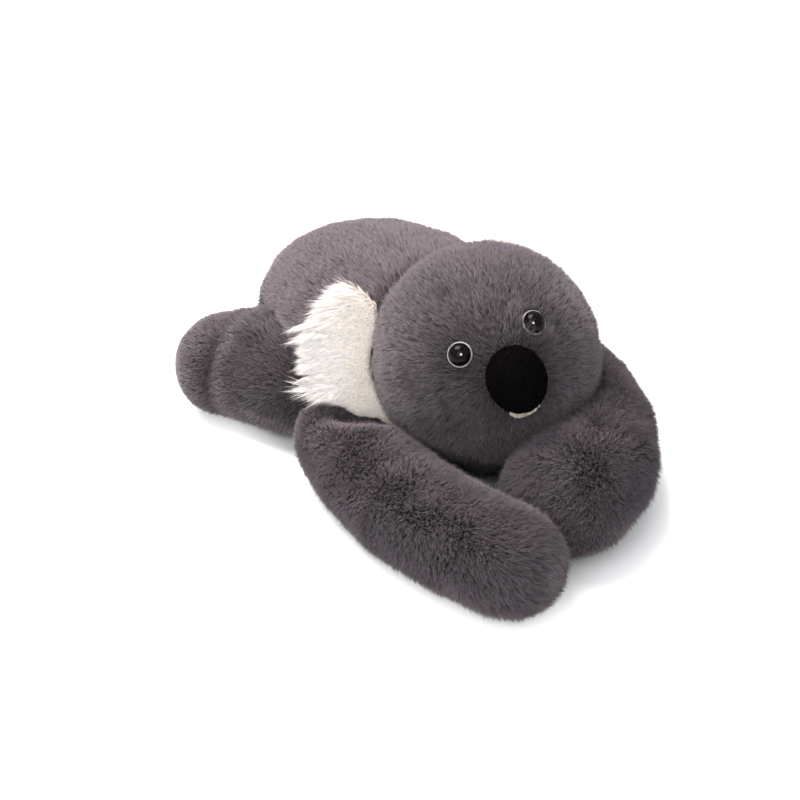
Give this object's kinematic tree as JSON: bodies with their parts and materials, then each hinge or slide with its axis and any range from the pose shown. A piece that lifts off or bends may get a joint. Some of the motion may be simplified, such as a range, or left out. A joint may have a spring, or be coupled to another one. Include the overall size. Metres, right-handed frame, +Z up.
{
  "type": "stuffed koala",
  "caption": "Plush koala lying on its belly: grey long-pile cover, white-fronted ears, large black nose, domed eyes, jointed head, limbs and ears",
  "frame": {"origin": "on the floor under the middle of the whole toy, the toy lying on its belly", "axes": "+Z up; the toy lies along Y with its arms and face toward -Y; its own left side is +X"},
  "size_m": [0.3358, 0.4654, 0.204],
  "materials": {
    "grey_pile": "long soft grey pile",
    "white_pile": "long soft white pile",
    "fibre": "loose white fibre",
    "black_velvet": "short dense black pile",
    "off_white_felt": "short off-white pile",
    "black_gloss": "polished black",
    "pale_rim": "satin pale grey",
    "washer_plastic": "moulded natural white"
  },
  "bodies": {
    "trunk": {"trunk_cover": "grey_pile", "trunk_filling": "fibre"},
    "head": {"head_cover": "grey_pile", "head_filling": "fibre", "nose_cover": "black_velvet", "nose_filling": "fibre", "mouth_patch": "off_white_felt", "eye_right": "black_gloss", "eye_left": "black_gloss", "eye_rim_right": "pale_rim", "eye_rim_left": "pale_rim", "eye_washer_right": "washer_plastic", "eye_washer_left": "washer_plastic"},
    "arm_right": {"arm_cover_right": "grey_pile", "arm_filling_right": "fibre"},
    "leg_right": {"leg_cover_right": "grey_pile", "leg_filling_right": "fibre"},
    "ear_right": {"ear_front_right": "white_pile", "ear_back_right": "grey_pile"},
    "arm_left": {"arm_cover_left": "grey_pile", "arm_filling_left": "fibre"},
    "leg_left": {"leg_cover_left": "grey_pile", "leg_filling_left": "fibre"},
    "ear_left": {"ear_front_left": "white_pile", "ear_back_left": "grey_pile"}
  },
  "joints": [
    {"name": "head_turn", "type": "hinge", "parent": "trunk", "child": "head", "pos_m": [0, -0.0405, 0.112], "axis": [0, 0, 1], "range_deg": [0, 25]},
    {"name": "shoulder_right", "type": "hinge", "parent": "trunk", "child": "arm_right", "pos_m": [-0.103, 0.0125, 0.0435], "axis": [0, 0, -1], "range_deg": [0, 45]},
    {"name": "shoulder_left", "type": "hinge", "parent": "trunk", "child": "arm_left", "pos_m": [0.11, 0.0085, 0.0435], "axis": [0, 0, 1], "range_deg": [0, 45]},
    {"name": "hip_right", "type": "hinge", "parent": "trunk", "child": "leg_right", "pos_m": [-0.088, 0.1155, 0.0505], "axis": [0, 0, 1], "range_deg": [0, 20]},
    {"name": "hip_left", "type": "hinge", "parent": "trunk", "child": "leg_left", "pos_m": [0.088, 0.1155, 0.0505], "axis": [0, 0, -1], "range_deg": [0, 20]},
    {"name": "ear_flap_right", "type": "hinge", "parent": "head", "child": "ear_right", "pos_m": [-0.07232, 0.01523, 0.11604], "axis": [0.2477, 0.2537, 0.935], "range_deg": [0, 20], "stiffness_Nm_per_rad": 0.05},
    {"name": "ear_flap_left", "type": "hinge", "parent": "head", "child": "ear_left", "pos_m": [0.07532, -0.03769, 0.1637], "axis": [0.4964, -0.5204, -0.6948], "range_deg": [0, 60], "stiffness_Nm_per_rad": 0.05}
  ]
}
